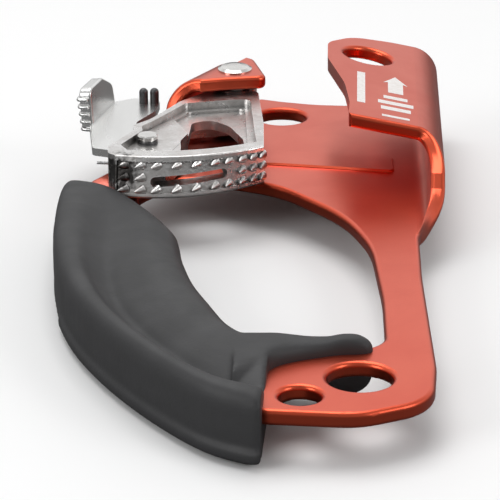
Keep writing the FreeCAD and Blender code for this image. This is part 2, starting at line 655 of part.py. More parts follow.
shank = dim("pivot_dia") / 2
head = dim("pivot_head_dia") / 2
top = 2 * dim("ear_radius")
nodes.append(revolved("pivot_rivet", [
    (0, -1.0), (head - 0.9, -1.0), (head - 0.4, -0.5), (head - 0.4, 0), (shank, 0), (shank, top), (head, top),
    (head, top + 0.35), (head * 0.8, top + 0.85), (head * 0.45, top + 1.1), (0, top + 1.2)], PIVOT))
bush_bore = shank + dim("running_gap")
bush = dim("bush_dia") / 2
nodes.append(revolved("cam_bush", [
    (bush_bore, dim("cam_low")), (bush, dim("cam_low")), (bush, dim("cam_high")), (bush_bore, dim("cam_high"))], PIVOT))
rim = dim("pivot_washer_dia") / 2
thick = dim("pivot_washer_thick")
chamfer = dim("pivot_washer_chamfer")
nodes.append(revolved("pivot_washer_back", [
    (shank, T), (shank + 0.1, T), (rim, T + chamfer), (rim, T + thick), (shank, T + thick)], PIVOT))
nodes.append(revolved("pivot_washer_front", [
    (shank, top - T - thick), (rim, top - T - thick), (rim, top - T - chamfer), (shank + 0.1, top - T),
    (shank, top - T)], PIVOT))

pin = dim("catch_pin_dia") / 2
catch_head = dim("catch_head_dia") / 2
boss_top = dim("boss_high")
nodes.append(revolved("catch_washer", [
    (pin, boss_top), (catch_head, boss_top), (catch_head, boss_top + 0.6), (pin, boss_top + 0.6)], CATCH))
nodes.append(revolved("catch_rivet", [
    (0, dim("cam_low")), (pin, dim("cam_low")), (pin, boss_top + 0.6), (catch_head - 0.4, boss_top + 0.6),
    (catch_head - 0.4, boss_top + 0.9), (catch_head, boss_top + 1.1), (catch_head, boss_top + 1.8),
    (catch_head - 0.3, boss_top + 2.1), (0, boss_top + 2.1)], CATCH))

wire = dim("wire_dia")
nodes.append(feature("cam_spring", coil(
    PIVOT, 4.5, SPRING_LOW + 0.7, SPRING_HIGH - 0.7, 2.0, 90, wire, Vector(-38.4, 160.1, SPRING_LOW + 0.7))))
nodes.append(feature("catch_spring", coil(
    CATCH, 2.7, dim("cam_low") + 0.8, dim("lever_low") - 0.5, 1.25, 84.5, dim("thin_wire_dia"),
    Vector(-65.4, 120.55, dim("cam_low") + 0.8))))
doc.recompute()

# -------------------------------------------------------------------- checks
for item in doc.Objects:
    if "Invalid" in item.State or "Error" in item.State:
        raise RuntimeError("%s: %s" % (item.Label, item.State))
os.makedirs("parts", exist_ok=True)
for item in nodes:
    if item.Shape.isNull() or not item.Shape.isValid():
        raise RuntimeError("%s has no valid shape" % item.Label)
    item.Shape.exportStep("parts/%s.step" % item.Label)
    print("%-20s %10.1f mm3  z %.2f to %.2f" % (
        item.Label, item.Shape.Volume, item.Shape.BoundBox.ZMin, item.Shape.BoundBox.ZMax))
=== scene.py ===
"""Hand ascender: finishes, moulded grip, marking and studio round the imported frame."""

import logging
import math
from dataclasses import dataclass
from enum import Enum

import bmesh
import bpy
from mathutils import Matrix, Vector

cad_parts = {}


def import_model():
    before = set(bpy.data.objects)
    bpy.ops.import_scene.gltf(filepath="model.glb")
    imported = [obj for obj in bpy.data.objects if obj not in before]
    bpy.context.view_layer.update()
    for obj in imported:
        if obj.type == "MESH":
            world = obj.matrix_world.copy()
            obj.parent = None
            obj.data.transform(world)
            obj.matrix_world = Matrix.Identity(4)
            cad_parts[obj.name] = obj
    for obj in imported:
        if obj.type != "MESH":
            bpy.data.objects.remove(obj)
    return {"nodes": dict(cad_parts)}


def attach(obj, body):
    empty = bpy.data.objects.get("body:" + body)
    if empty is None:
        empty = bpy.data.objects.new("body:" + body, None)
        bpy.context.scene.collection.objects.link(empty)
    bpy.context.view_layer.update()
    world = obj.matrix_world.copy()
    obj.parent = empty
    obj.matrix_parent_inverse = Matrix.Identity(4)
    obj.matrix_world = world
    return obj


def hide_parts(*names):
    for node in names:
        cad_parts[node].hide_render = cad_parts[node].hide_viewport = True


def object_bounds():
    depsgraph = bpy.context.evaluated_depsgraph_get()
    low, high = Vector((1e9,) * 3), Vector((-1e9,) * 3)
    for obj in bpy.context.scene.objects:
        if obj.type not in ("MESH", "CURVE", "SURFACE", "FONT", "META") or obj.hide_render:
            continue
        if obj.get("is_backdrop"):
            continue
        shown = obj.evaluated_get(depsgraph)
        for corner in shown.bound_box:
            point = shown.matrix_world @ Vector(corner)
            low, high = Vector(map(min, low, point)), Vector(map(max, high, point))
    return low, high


Triple = tuple[float, float, float]

MM = 0.001
FLOOR_GAP = 0.0002
log = logging.getLogger("ascender")


class Body(Enum):
    """Bodies of the mechanism that pieces ride on."""

    FRAME = "frame"
    CAM = "cam"
    CATCH = "catch"


# ------------------------------------------------------------ shader effects
def new_group(
    name: str, inputs: dict[str, tuple[str, object]], outputs: dict[str, str],
) -> bpy.types.NodeTree:
    """Starts a shader node group with named sockets.

    Args:
        name: name of the group.
        inputs: socket name to (socket type, default value).
        outputs: socket name to socket type.

    Returns:
        The empty group, with its input and output nodes.
    """
    tree = bpy.data.node_groups.new(name, "ShaderNodeTree")
    for label, (kind, default) in inputs.items():
        tree.interface.new_socket(label, in_out="INPUT", socket_type=kind).default_value = default
    for label, kind in outputs.items():
        tree.interface.new_socket(label, in_out="OUTPUT", socket_type=kind)
    tree.nodes.new("NodeGroupInput").name = "in"
    tree.nodes.new("NodeGroupOutput").name = "out"
    return tree


def add_node(
    tree: bpy.types.NodeTree, kind: str, values: dict | None = None, **settings: object,
) -> bpy.types.Node:
    """Adds one node.

    Args:
        tree: tree that gets the node.
        kind: Blender's node type.
        values: input name or index to value.
        settings: attributes of the node.

    Returns:
        The new node.
    """
    node = tree.nodes.new(kind)
    for key, value in settings.items():
        setattr(node, key, value)
    for key, value in (values or {}).items():
        node.inputs[key].default_value = value
    return node


@dataclass(frozen=True)
class SurfaceGrain:
    """Fine grain and slow mottling, shared by every finish."""

    name: str = "surface_grain"

    def tree(self) -> bpy.types.NodeTree:
        """The node group, built once."""
        known = bpy.data.node_groups.get(self.name)
        if known:
            return known
        tree = new_group(
            self.name,
            {
                "Stretch": ("NodeSocketVector", (1.0, 1.0, 1.0)),
                "Grain Scale": ("NodeSocketFloat", 1500.0),
                "Mottle Scale": ("NodeSocketFloat", 90.0),
                "Pit Share": ("NodeSocketFloat", 0.2),
            },
            {"Height": "NodeSocketFloat", "Mottle": "NodeSocketFloat", "Grit": "NodeSocketFloat"},
        )
        link = tree.links.new
        source, sink = tree.nodes["in"], tree.nodes["out"]
        place = add_node(tree, "ShaderNodeTexCoord")
        stretch = add_node(tree, "ShaderNodeVectorMath", operation="MULTIPLY")
        link(place.outputs["Object"], stretch.inputs[0])
        link(source.outputs["Stretch"], stretch.inputs[1])
        grain = add_node(tree, "ShaderNodeTexNoise", {"Detail": 4.0, "Roughness": 0.62})
        link(stretch.outputs[0], grain.inputs["Vector"])
        link(source.outputs["Grain Scale"], grain.inputs["Scale"])
        pits = add_node(tree, "ShaderNodeTexVoronoi", feature="F1")
        link(stretch.outputs[0], pits.inputs["Vector"])
        link(source.outputs["Grain Scale"], pits.inputs["Scale"])
        mix = add_node(tree, "ShaderNodeMix", data_type="FLOAT")
        link(source.outputs["Pit Share"], mix.inputs["Factor"])
        link(grain.outputs["Fac"], mix.inputs["A"])
        link(pits.outputs["Distance"], mix.inputs["B"])
        link(mix.outputs["Result"], sink.inputs["Height"])
        mottle = add_node(tree, "ShaderNodeTexNoise", {"Detail": 5.0, "Roughness": 0.55, "Distortion": 0.4})
        link(stretch.outputs[0], mottle.inputs["Vector"])
        link(source.outputs["Mottle Scale"], mottle.inputs["Scale"])
        spread = add_node(tree, "ShaderNodeMapRange", {"From Min": 0.34, "From Max": 0.66})
        link(mottle.outputs["Fac"], spread.inputs["Value"])
        link(spread.outputs["Result"], sink.inputs["Mottle"])
        grit = add_node(tree, "ShaderNodeMapRange", {"From Min": 0.52, "From Max": 0.72})
        link(grain.outputs["Fac"], grit.inputs["Value"])
        link(grit.outputs["Result"], sink.inputs["Grit"])
        return tree


@dataclass(frozen=True)
class EdgeWearAndHighlight:
    """Mask of the outer edges, broken up by noise, that lightens them: partly wear, partly a painted highlight
    (the bright orange edges of the anodised frame).
    """

    name: str = "edge_wear_and_highlight"

    def tree(self) -> bpy.types.NodeTree:
        """The node group, built once."""
        known = bpy.data.node_groups.get(self.name)
        if known:
            return known
        tree = new_group(
            self.name,
            {"Radius": ("NodeSocketFloat", 0.0005), "Gain": ("NodeSocketFloat", 3.0)},
            {"Mask": "NodeSocketFloat"},
        )
        link = tree.links.new
        source, sink = tree.nodes["in"], tree.nodes["out"]
        soft = add_node(tree, "ShaderNodeBevel", samples=4)
        link(source.outputs["Radius"], soft.inputs["Radius"])
        shape = add_node(tree, "ShaderNodeNewGeometry")
        dot = add_node(tree, "ShaderNodeVectorMath", operation="DOT_PRODUCT")
        link(soft.outputs["Normal"], dot.inputs[0])
        link(shape.outputs["Normal"], dot.inputs[1])
        flip = add_node(tree, "ShaderNodeMath", {0: 1.0}, operation="SUBTRACT")
        link(dot.outputs["Value"], flip.inputs[1])
        gain = add_node(tree, "ShaderNodeMath", operation="MULTIPLY")
        link(flip.outputs[0], gain.inputs[0])
        link(source.outputs["Gain"], gain.inputs[1])
        place = add_node(tree, "ShaderNodeTexCoord")
        noise = add_node(tree, "ShaderNodeTexNoise", {"Scale": 420.0, "Detail": 3.0})
        link(place.outputs["Object"], noise.inputs["Vector"])
        broken = add_node(tree, "ShaderNodeMath", operation="MULTIPLY", use_clamp=True)
        link(gain.outputs[0], broken.inputs[0])
        link(noise.outputs["Fac"], broken.inputs[1])
        link(broken.outputs[0], sink.inputs["Mask"])
        return tree


@dataclass(frozen=True)
class PaintedRecessShade:
    """Painted shade: darkening mask of the crevices from ambient occlusion, with one ragged dark patch round a
    given place that stands in for the shade of a hollow.
    """

    name: str = "painted_recess_shade"

    def tree(self) -> bpy.types.NodeTree:
        """The node group, built once."""
        known = bpy.data.node_groups.get(self.name)
        if known:
            return known
        tree = new_group(
            self.name,
            {
                "Depth": ("NodeSocketFloat", 0.003),
                "Shade Centre": ("NodeSocketVector", (0.0, 0.0, 0.0)),
                "Shade Radius": ("NodeSocketFloat", 0.0001),
            },
            {"Crevice": "NodeSocketFloat", "Hollow Shade": "NodeSocketFloat"},
        )
        link = tree.links.new
        source, sink = tree.nodes["in"], tree.nodes["out"]
        # Painted shade: ambient occlusion darkens the crevices.
        hollow = add_node(tree, "ShaderNodeAmbientOcclusion", samples=6)
        link(source.outputs["Depth"], hollow.inputs["Distance"])
        crevice = add_node(tree, "ShaderNodeMapRange", {"From Min": 0.85, "From Max": 0.3})
        link(hollow.outputs["AO"], crevice.inputs["Value"])
        link(crevice.outputs["Result"], sink.inputs["Crevice"])
        # Painted shade: a ragged patch darkened round the given place, for the shade of a hollow.
        place = add_node(tree, "ShaderNodeTexCoord")
        gap = add_node(tree, "ShaderNodeVectorMath", operation="DISTANCE")
        link(place.outputs["Object"], gap.inputs[0])
        link(source.outputs["Shade Centre"], gap.inputs[1])
        share = add_node(tree, "ShaderNodeMath", operation="DIVIDE")
        link(gap.outputs["Value"], share.inputs[0])
        link(source.outputs["Shade Radius"], share.inputs[1])
        noise = add_node(tree, "ShaderNodeTexNoise", {"Scale": 700.0, "Detail": 4.0})
        link(place.outputs["Object"], noise.inputs["Vector"])
        ragged = add_node(tree, "ShaderNodeMath", operation="ADD")
        link(share.outputs[0], ragged.inputs[0])
        link(noise.outputs["Fac"], ragged.inputs[1])
        hollow_shade = add_node(tree, "ShaderNodeMapRange", {"From Min": 1.32, "From Max": 1.0})
        link(ragged.outputs[0], hollow_shade.inputs["Value"])
        link(hollow_shade.outputs["Result"], sink.inputs["Hollow Shade"])
        return tree


@dataclass(frozen=True)
class Finish:
    """One procedural finish of the object."""

    name: str
    colour: Triple
    shade: Triple
    # Edge colour: wear, and a painted highlight on the anodised frame's edges.
    wear_and_highlight_tone: Triple
    metallic: float
    rough: tuple[float, float]
    grain_scale: float = 1500.0
    grain_depth: float = 0.00002
    mottle_scale: float = 90.0
    pit_share: float = 0.2
    stretch: Triple = (1.0, 1.0, 1.0)
    grit_share: float = 0.15
    coat: float = 0.0
    coat_rough: float = 0.3
    edge_gain: float = 3.0
    # Painted shade: how much the crevices darken, and the place and size of a darkened patch for the shade of
    # a hollow.
    crevice_shade_share: float = 0.35
    hollow_shade_centre: Triple = (0.0, 0.0, 0.0)
    hollow_shade_radius: float = 0.0001
    mottle_share: float = 0.55
    # Painted shade: how dark the crevices and the patch go, as a share of the shade tone.
    painted_shade_tone: float = 0.15

    def material(self) -> bpy.types.Material:
        """The material, built once."""
        known = bpy.data.materials.get(self.name)
        if known:
            return known
        material = bpy.data.materials.new(self.name)
        material.use_nodes = True
        tree = material.node_tree
        link = tree.links.new
        shader = tree.nodes["Principled BSDF"]
        shader.inputs["Metallic"].default_value = self.metallic
        shader.inputs["Coat Weight"].default_value = self.coat
        shader.inputs["Coat Roughness"].default_value = self.coat_rough
        grain = add_node(tree, "ShaderNodeGroup", node_tree=SurfaceGrain().tree())
        grain.inputs["Stretch"].default_value = self.stretch
        grain.inputs["Grain Scale"].default_value = self.grain_scale
        grain.inputs["Mottle Scale"].default_value = self.mottle_scale
        grain.inputs["Pit Share"].default_value = self.pit_share
        wear_and_highlight = add_node(tree, "ShaderNodeGroup", node_tree=EdgeWearAndHighlight().tree())
        wear_and_highlight.inputs["Gain"].default_value = self.edge_gain

        tone = add_node(tree, "ShaderNodeMix", data_type="RGBA")
        tone.inputs["A"].default_value = (*self.colour, 1.0)
        tone.inputs["B"].default_value = (*self.shade, 1.0)
        share = add_node(tree, "ShaderNodeMath", operation="MULTIPLY")
        share.inputs[1].default_value = self.mottle_share
        link(grain.outputs["Mottle"], share.inputs[0])
        link(share.outputs[0], tone.inputs["Factor"])
        speck = add_node(tree, "ShaderNodeMix", data_type="RGBA")
        speck.inputs["B"].default_value = (*self.shade, 1.0)
        grit = add_node(tree, "ShaderNodeMath", operation="MULTIPLY")
        grit.inputs[1].default_value = self.grit_share
        link(grain.outputs["Grit"], grit.inputs[0])
        link(grit.outputs[0], speck.inputs["Factor"])
        link(tone.outputs["Result"], speck.inputs["A"])
        # Edges lighten towards the edge colour: wear, and a painted edge highlight where that colour is a
        # highlight.
        edge = add_node(tree, "ShaderNodeMix", data_type="RGBA")
        edge.inputs["B"].default_value = (*self.wear_and_highlight_tone, 1.0)
        link(wear_and_highlight.outputs["Mask"], edge.inputs["Factor"])
        link(speck.outputs["Result"], edge.inputs["A"])
        # Painted shade: crevices and one patch round a hollow darken towards a dark copy of the shade tone.
        painted_shade = add_node(tree, "ShaderNodeGroup", node_tree=PaintedRecessShade().tree())
        painted_shade.inputs["Shade Centre"].default_value = self.hollow_shade_centre
        painted_shade.inputs["Shade Radius"].default_value = self.hollow_shade_radius
        dark = tuple(self.painted_shade_tone * value for value in self.shade)
        layer = edge
        for output, strength in (("Crevice", self.crevice_shade_share), ("Hollow Shade", 1.0)):
            amount = add_node(tree, "ShaderNodeMath", operation="MULTIPLY")
            amount.inputs[1].default_value = strength
            link(painted_shade.outputs[output], amount.inputs[0])
            shaded = add_node(tree, "ShaderNodeMix", data_type="RGBA")
            shaded.inputs["B"].default_value = (*dark, 1.0)
            link(amount.outputs[0], shaded.inputs["Factor"])
            link(layer.outputs["Result"], shaded.inputs["A"])
            layer = shaded
        link(layer.outputs["Result"], shader.inputs["Base Color"])

        rough = add_node(tree, "ShaderNodeMapRange", {"To Min": self.rough[0], "To Max": self.rough[1]})
        link(grain.outputs["Mottle"], rough.inputs["Value"])
        link(rough.outputs["Result"], shader.inputs["Roughness"])
        bump = add_node(tree, "ShaderNodeBump", {"Distance": self.grain_depth, "Strength": 1.0})
        link(grain.outputs["Height"], bump.inputs["Height"])
        link(bump.outputs["Normal"], shader.inputs["Normal"])
        return material


# The anodised frame's bright orange edge colour is a painted highlight on its rounded edges.
ANODISED = Finish(
    "anodised_aluminium", colour=(0.78, 0.098, 0.034), shade=(0.66, 0.07, 0.026), wear_and_highlight_tone=(0.98, 0.22, 0.08),
    metallic=1.0, rough=(0.29, 0.37), grain_scale=2600.0, grain_depth=0.000014, mottle_scale=60.0,
    grit_share=0.25, coat=0.55, coat_rough=0.32, edge_gain=1.6)
# The cast finish darkens its crevices more, and a ragged patch at the left end of the toothed face: painted
# shade in the grooves and of a hollow.
CAST = Finish(
    "cast_aluminium", colour=(0.84, 0.83, 0.82), shade=(0.46, 0.43, 0.41), wear_and_highlight_tone=(0.97, 0.97, 0.96),
    metallic=1.0, rough=(0.24, 0.42), grain_scale=1300.0, grain_depth=0.00009, mottle_scale=240.0,
    pit_share=0.35, grit_share=0.45, edge_gain=5.0, crevice_shade_share=0.6,
    hollow_shade_centre=(-0.0575, 0.1025, 0.0095), hollow_shade_radius=0.0066)
STAMPED = Finish(
    "stamped_steel", colour=(0.9, 0.9, 0.89), shade=(0.74, 0.74, 0.73), wear_and_highlight_tone=(0.98, 0.98, 0.98),
    metallic=1.0, rough=(0.22, 0.32), grain_scale=1900.0, grain_depth=0.000016, mottle_scale=120.0,
    stretch=(1.0, 0.16, 1.0), grit_share=0.15)
BRIGHT = Finish(
    "bright_steel", colour=(0.82, 0.81, 0.79), shade=(0.68, 0.67, 0.65), wear_and_highlight_tone=(0.95, 0.95, 0.94),
    metallic=1.0, rough=(0.17, 0.27), grain_scale=2400.0, grain_depth=0.000006, mottle_scale=260.0)
WIRE = Finish(
    "spring_wire", colour=(0.72, 0.72, 0.72), shade=(0.5, 0.5, 0.5), wear_and_highlight_tone=(0.9, 0.9, 0.9),
    metallic=1.0, rough=(0.2, 0.32), grain_scale=3200.0, grain_depth=0.000006, mottle_scale=500.0,
    stretch=(1.0, 1.0, 0.3))
TURNED = Finish(
    "turned_bronze", colour=(0.7, 0.5, 0.26), shade=(0.5, 0.34, 0.16), wear_and_highlight_tone=(0.86, 0.7, 0.42),
    metallic=1.0, rough=(0.24, 0.34), grain_scale=2200.0, grain_depth=0.00001, mottle_scale=300.0,
    stretch=(0.2, 0.2, 1.0))
OXIDE = Finish(
    "black_oxide", colour=(0.12, 0.12, 0.125), shade=(0.05, 0.05, 0.05), wear_and_highlight_tone=(0.34, 0.34, 0.34),
    metallic=0.75, rough=(0.3, 0.46), grain_scale=2000.0, grain_depth=0.00002, mottle_scale=700.0,
    grit_share=0.4)
RUBBER = Finish(
    "moulded_rubber", colour=(0.034, 0.034, 0.036), shade=(0.026, 0.026, 0.027), wear_and_highlight_tone=(0.06, 0.06, 0.063),
    metallic=0.0, rough=(0.52, 0.62), grain_scale=1700.0, grain_depth=0.00004, mottle_scale=75.0,
    pit_share=0.25, grit_share=0.2, edge_gain=0.8)
LASERED = Finish(
    "laser_marking", colour=(0.88, 0.86, 0.84), shade=(0.72, 0.66, 0.62), wear_and_highlight_tone=(0.95, 0.95, 0.95),
    metallic=0.1, rough=(0.5, 0.62), grain_scale=2600.0, grain_depth=0.00001, mottle_scale=900.0,
    grit_share=0.3)


# -------------------------------------------------------------- mesh helpers
def smooth_line(points: list[tuple[float, ...]], steps: int) -> list[tuple[float, ...]]:
    """Runs a smooth open curve through points.

    Args:
        points: points with any number of coordinates.
        steps: divisions of each run.

    Returns:
        The divided curve, ends included.
    """
    ends = [points[0], *points, points[-1]]
    result = []
    for index in range(1, len(ends) - 2):
        before, start, end, after = ends[index - 1:index + 3]
        for step in range(steps):
            t = step / steps
            result.append(tuple(
                0.5 * (2 * b + (c - a) * t + (2 * a - 5 * b + 4 * c - d) * t * t
                       + (3 * b - a - 3 * c + d) * t ** 3)
                for a, b, c, d in zip(before, start, end, after)))
    result.append(tuple(points[-1]))
    return result


def piece_from(
    name: str, vertices: list[Vector], faces: list[tuple[int, ...]], finish: Finish,
) -> bpy.types.Object:
    """Makes one smooth-shaded object in the scene.

    Args:
        name: name of the piece.
        vertices: corner points, in metres.
        faces: corner numbers of each face.
        finish: finish of the whole piece.

    Returns:
        The new object.
    """
    mesh = bpy.data.meshes.new(name)
    mesh.from_pydata([tuple(vertex) for vertex in vertices], [], faces)
    work = bmesh.new()
    work.from_mesh(mesh)
    bmesh.ops.recalc_face_normals(work, faces=work.faces)
    work.to_mesh(mesh)
    work.free()
    mesh.shade_smooth()
    piece = bpy.data.objects.new(name, mesh)
    bpy.context.scene.collection.objects.link(piece)
    piece.data.materials.append(finish.material())
    return piece


def tube_faces(rings: int, size: int) -> list[tuple[int, ...]]:
    """Faces of a closed tube of rings, with both ends capped."""
    faces = []
    for ring in range(rings - 1):
        low, high = ring * size, (ring + 1) * size
        for index in range(size):
            after = (index + 1) % size
            faces.append((low + index, low + after, high + after, high + index))
    faces.append(tuple(range(size)))
    faces.append(tuple((rings - 1) * size + index for index in reversed(range(size))))
    return faces


def apply_modifiers(piece: bpy.types.Object) -> None:
    """Replaces a piece's mesh with its evaluated one."""
    graph = bpy.context.evaluated_depsgraph_get()
    mesh = bpy.data.meshes.new_from_object(piece.evaluated_get(graph))
    piece.modifiers.clear()
    piece.data = mesh


def dress(node: bpy.types.Object, finish: Finish) -> None:
    """Puts a finish in every material slot of a node."""
    for place in node.material_slots:
        place.material = finish.material()
    if not node.material_slots:
        node.data.materials.append(finish.material())


# --------------------------------------------------------------------- pieces
@dataclass
class Grip:
    """Moulded rubber grip: fluted handle, heel and arm."""

    parting: float = 1.75
    front: float = 8.0
    back: float = -8.0
    voxel: float = 0.0005
    soften_share: float = 0.5
    soften_rounds: int = 6
    section_steps: int = 3
    handle_steps: int = 5
    undercut_flute: float = 0.85
    arm_steps: int = 4
    arm_corners: int = 28
    arm_middle: float = 1.6
    arm_roundness: float = 0.62

    # Outer point, inner point, height share and depth of the fluting.
    STATIONS = (
        ((-70.2, 107.0), (-65.2, 104.8), 0.55, 0.0), ((-72.0, 102.6), (-58.0, 99.3), 0.92, 0.0),
        ((-72.3, 92.0), (-50.0, 89.2), 1.0, 0.2), ((-71.6, 78.0), (-43.2, 76.9), 1.0, 0.45),
        ((-71.1, 72.5), (-41.7, 71.5), 1.0, 0.5), ((-69.8, 62.0), (-40.1, 61.0), 1.0, 0.65),
        ((-66.6, 46.0), (-36.6, 46.5), 1.0, 0.85),
        ((-61.0, 29.5), (-31.8, 33.5), 1.0, 1.0), ((-52.5, 13.0), (-27.6, 23.0), 1.0, 1.0),
        ((-42.0, -2.5), (-24.0, 17.5), 1.0, 1.0), ((-31.5, -14.5), (-21.3, 16.3), 1.0, 1.0),
        ((-22.6, -19.9), (-19.2, 16.1), 1.0, 0.95), ((-19.6, -20.9), (-18.5, 15.8), 0.93, 0.9),
    )
    PLAIN_FRONT = (
        (0.0, 0.0), (0.003, 0.42), (0.03, 0.74), (0.12, 0.95), (0.26, 1.0), (0.42, 0.99), (0.58, 0.97),
        (0.74, 0.92), (0.87, 0.79), (0.96, 0.52), (0.995, 0.22), (1.0, 0.0),
    )
    FLUTED_FRONT = (
        (0.0, 0.0), (0.003, 0.52), (0.03, 0.88), (0.08, 1.04), (0.15, 1.0), (0.22, 0.6), (0.32, 0.3),
        (0.42, 0.52), (0.64, 0.9), (0.86, 0.84), (0.975, 0.42), (1.0, 0.0),
    )
    BACK = (
        (0.995, 0.3), (0.96, 0.62), (0.87, 0.87), (0.72, 0.985), (0.5, 1.0), (0.3, 1.0), (0.12, 0.97),
        (0.01, 0.92), (-0.018, 0.84), (-0.024, 0.7), (-0.02, 0.62), (0.002, 0.58), (0.0, 0.25),
    )
    # Rings along the arm: x, near edge y, far edge y and height share.
    ARM = (
        (-26.0, -6.0, 17.4, 0.9), (-21.0, -2.0, 16.8, 0.92), (-17.6, 3.6, 16.3, 0.9),
        (-14.2, 6.2, 15.8, 0.84), (-10.8, 7.9, 15.5, 0.78), (-6.6, 9.6, 15.4, 0.77),
        (-3.4, 10.6, 15.7, 0.84), (-0.4, 10.9, 15.9, 0.8), (1.8, 11.4, 15.4, 0.62), (2.7, 12.2, 14.6, 0.4),
    )

    def section(self, across: Vector, start: Vector, share: float, flute: float) -> list[Vector]:
        """One closed section of the handle.

        Args:
            across: vector from the outer to the inner side.
            start: outer point on the parting plane.
            share: share of the full height.
            flute: depth of the fluting, 0 to 1.

        Returns:
            The section's points, in millimetres.
        """
        front = [
            (u0 + (u1 - u0) * flute, h0 + (h1 - h0) * flute)
            for (u0, h0), (u1, h1) in zip(self.PLAIN_FRONT, self.FLUTED_FRONT)]
        back = [(u if u > 0 or flute >= self.undercut_flute else 0.0, h) for u, h in self.BACK]
        rise, drop = (self.front - self.parting) * share, (self.parting - self.back) * share
        upper, lower = smooth_line(front, self.section_steps), smooth_line(back, self.section_steps)
        points = [start + across * u + Vector((0, 0, rise * h)) for u, h in upper]
        points += [start + across * u - Vector((0, 0, drop * h)) for u, h in lower]
        return points

    def handle(self) -> tuple[list[Vector], int]:
        """Rings of the handle and the size of one ring."""
        rows = [(*outer, *inner, share, flute) for outer, inner, share, flute in self.STATIONS]
        rings = []
        size = 0
        for x0, y0, x1, y1, share, flute in smooth_line(rows, self.handle_steps):
            start = Vector((x0, y0, self.parting))
            section = self.section(Vector((x1 - x0, y1 - y0, 0)), start, share, flute)
            size = len(section)
            rings += section
        return rings, size

    def arm(self) -> tuple[list[Vector], int]:
        """Rings of the arm and the size of one ring."""
        rings = []
        size, middle, power = self.arm_corners, self.arm_middle, self.arm_roundness
        for x, near, far, share in smooth_line(list(self.ARM), self.arm_steps):
            centre = Vector((x, (near + far) / 2, middle))
            for index in range(size):
                angle = 2 * math.pi * index / size
                side, lift = math.cos(angle), math.sin(angle)
                side = math.copysign(abs(side) ** power, side) * (far - near) / 2
                reach = (self.front - middle) if lift > 0 else (middle - self.back)
                lift = math.copysign(abs(lift) ** power, lift) * reach * share
                rings.append(centre + Vector((0, side, lift)))
        return rings, size

    def build(self) -> bpy.types.Object:
        """Joins handle and arm into one moulding and rounds it off."""
        vertices: list[Vector] = []
        faces: list[tuple[int, ...]] = []
        for rings, size in (self.handle(), self.arm()):
            offset = len(vertices)
            vertices += [point * MM for point in rings]
            tube = tube_faces(len(rings) // size, size)
            faces += [tuple(corner + offset for corner in face) for face in tube]
        piece = piece_from("grip_moulding", vertices, faces, RUBBER)
        remesh = piece.modifiers.new("weld", "REMESH")
        remesh.mode = "VOXEL"
        remesh.voxel_size = self.voxel
        soften = piece.modifiers.new("soften", "SMOOTH")
        soften.factor = self.soften_share
        soften.iterations = self.soften_rounds
        apply_modifiers(piece)
        piece.data.shade_smooth()
        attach(piece, Body.FRAME.value)
        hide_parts("grip_front_shell", "grip_back_shell")
        return piece


@dataclass
class Bodywork:
    """Folded aluminium frame, its rivet, washers and cam spring."""

    nodes: dict[str, bpy.types.Object]
    tilt: float = math.radians(11.0)
    fold_x: float = 12.3
    fold_z: float = 9.83
    fold_radius: float = 8.0
    proud: float = 0.04
    sunk: float = 0.05

    # Half outline of the arrow: (across, along) from its tip, in millimetres.
    ARROW_HALF = ((0.0, 0.0), (-3.1, -5.8), (-1.9, -5.0), (-1.9, -13.2))
    ARROW_TIP = (8.6, 150.5)
    # Plain bars beside the arrow: centre, half width and half length.
    BARS = (
        ((8.5, 133.4), (3.0, 1.1)), ((8.5, 129.2), (4.4, 1.2)), ((8.5, 124.9), (3.7, 1.2)),
        ((8.4, 119.0), (3.4, 0.7)), ((-0.1, 137.5), (1.0, 12.0)),
    )

    def on_lip(self, x: float, y: float, lift: float) -> Vector:
        """Point on the lip's upper face, lifted along its normal, in metres."""
        normal = Vector((math.sin(self.tilt), 0, math.cos(self.tilt)))
        start = Vector((self.fold_x, 0, self.fold_z)) + normal * self.fold_radius
        reach = (start.x - x) / math.cos(self.tilt)
        point = start + Vector((-math.cos(self.tilt), 0, math.sin(self.tilt))) * reach + normal * lift
        return Vector((point.x, y, point.z)) * MM

    def marking(self) -> bpy.types.Object:
        """Thin raised arrow that points up the rope, with plain bars beside it."""
        tip_x, tip_y = self.ARROW_TIP
        half = [(tip_x + across, tip_y + along) for across, along in self.ARROW_HALF]
        loops = [half + [(2 * tip_x - x, y) for x, y in reversed(half[1:])]]
        for (x, y), (wide, long) in self.BARS:
            left, right, low, high = x - wide, x + wide, y - long, y + long
            loops.append([(left, low), (left, high), (right, high), (right, low)])
        vertices: list[Vector] = []
        faces: list[tuple[int, ...]] = []
        for loop in loops:
            base, count = len(vertices), len(loop)
            for lift in (-self.sunk, self.proud):
                vertices += [self.on_lip(x, y, lift) for x, y in loop]
            faces.append(tuple(range(base, base + count)))
            faces.append(tuple(range(base + 2 * count - 1, base + count - 1, -1)))
            for index in range(count):
                after = (index + 1) % count
                faces.append((base + index, base + after, base + count + after, base + count + index))
        piece = piece_from("lip_marking", vertices, faces, LASERED)
        piece.data.shade_flat()
        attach(piece, Body.FRAME.value)
        return piece

    def dress(self) -> None:
        """Finishes of the frame's own metal."""
        dress(self.nodes["frame"], ANODISED)
        dress(self.nodes["pivot_rivet"], BRIGHT)
        for name in ("pivot_washer_back", "pivot_washer_front"):
            dress(self.nodes[name], STAMPED)
        dress(self.nodes["cam_spring"], WIRE)


